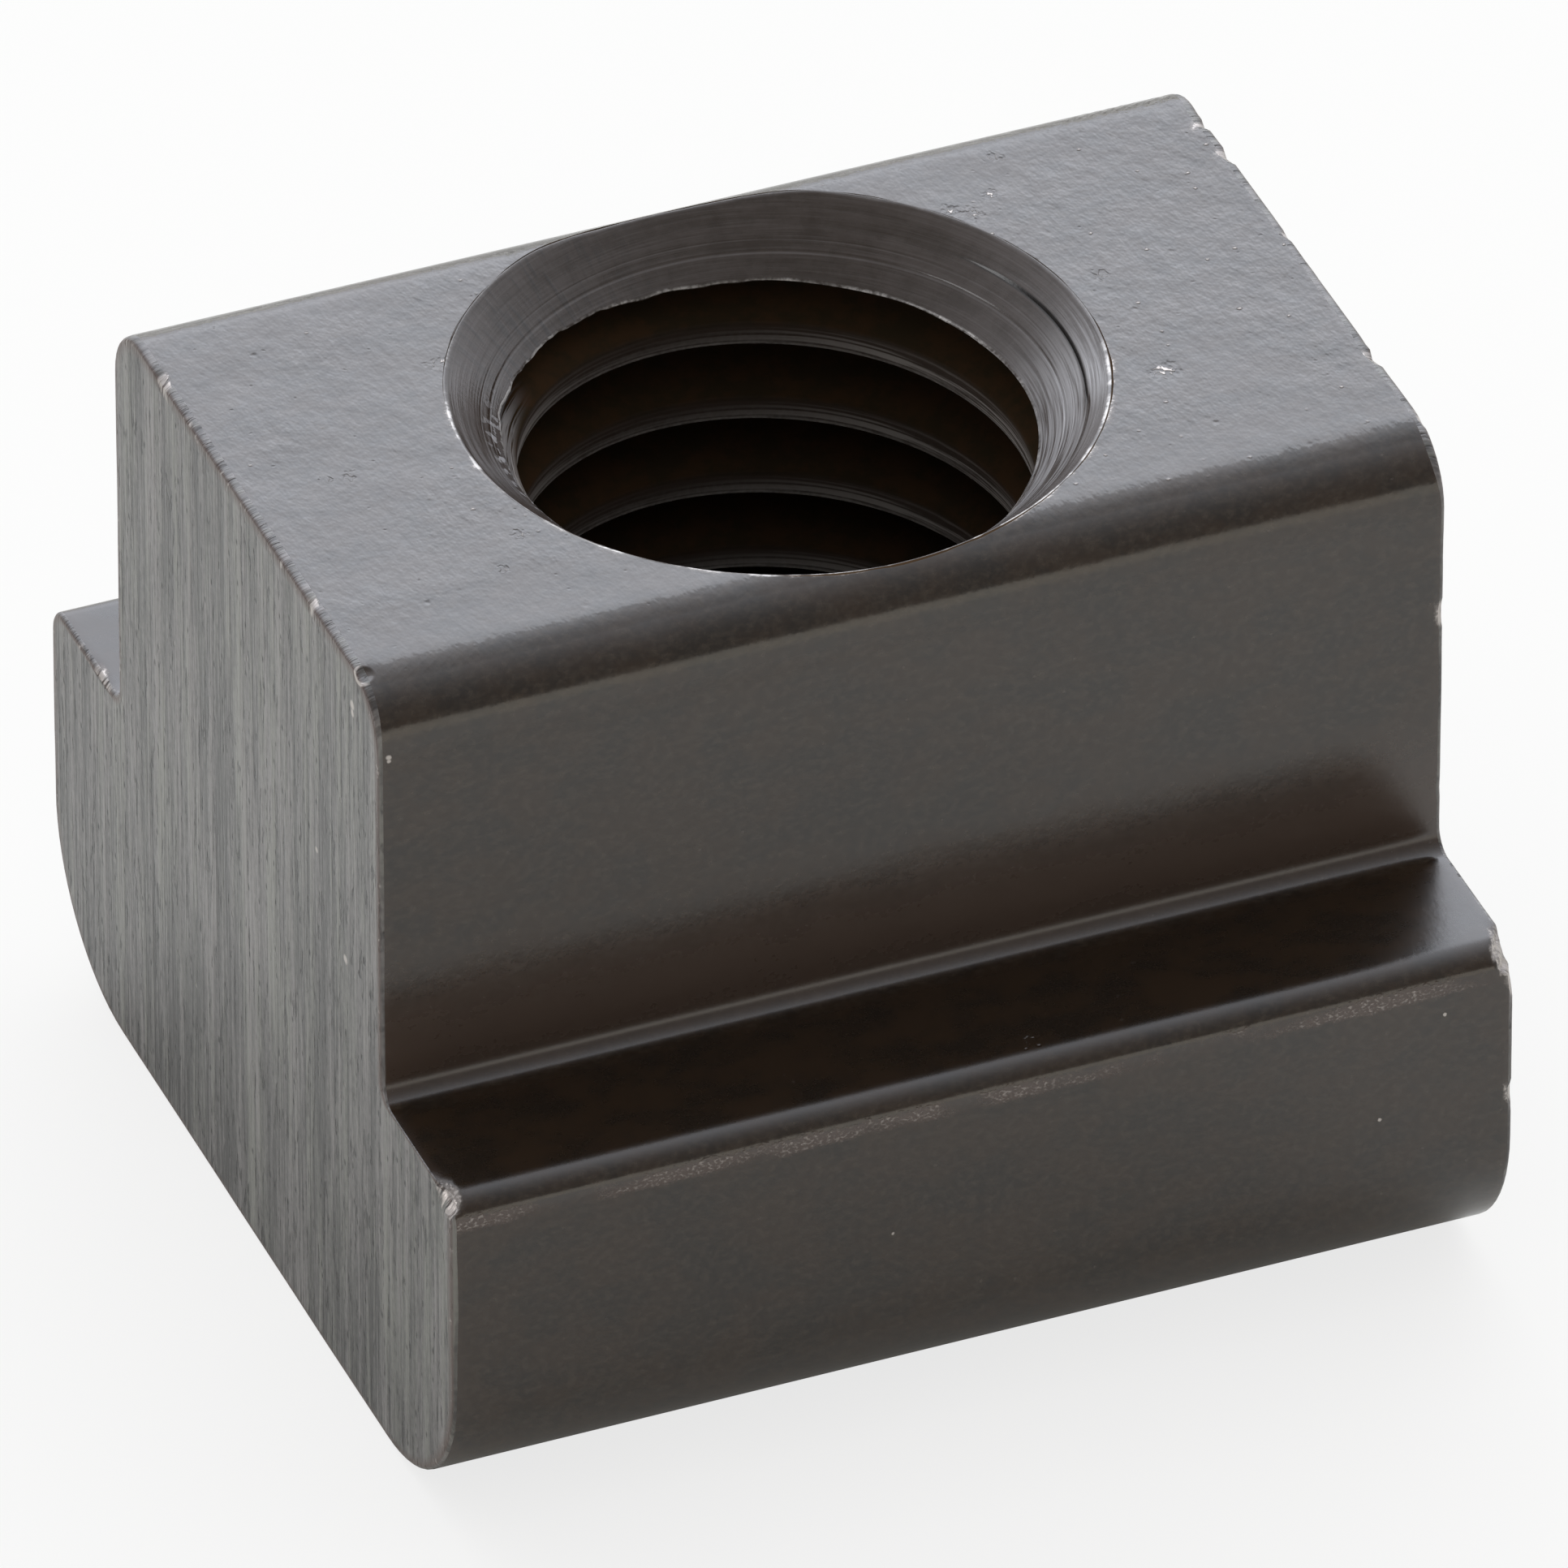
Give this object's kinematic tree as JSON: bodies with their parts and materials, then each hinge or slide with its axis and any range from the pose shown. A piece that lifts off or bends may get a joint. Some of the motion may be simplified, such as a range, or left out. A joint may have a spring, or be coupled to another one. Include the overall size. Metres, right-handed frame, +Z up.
{
  "type": "t slot nut",
  "caption": "One-piece T-slot nut: a rounded flange with a narrower neck on top and a threaded hole through both, countersunk at each end.",
  "frame": {"origin": "middle of the underside, on the axis of the threaded hole", "axes": "+X along the slot the nut slides in, +Y across it, +Z up through the threaded hole, away from the flange"},
  "size_m": [0.0186, 0.018, 0.0147],
  "materials": {
    "black_oxide_steel": "satin black oxide, brighter on the sawn ends"
  },
  "bodies": {
    "root": {"t_slot_nut": "black_oxide_steel"}
  },
  "joints": []
}
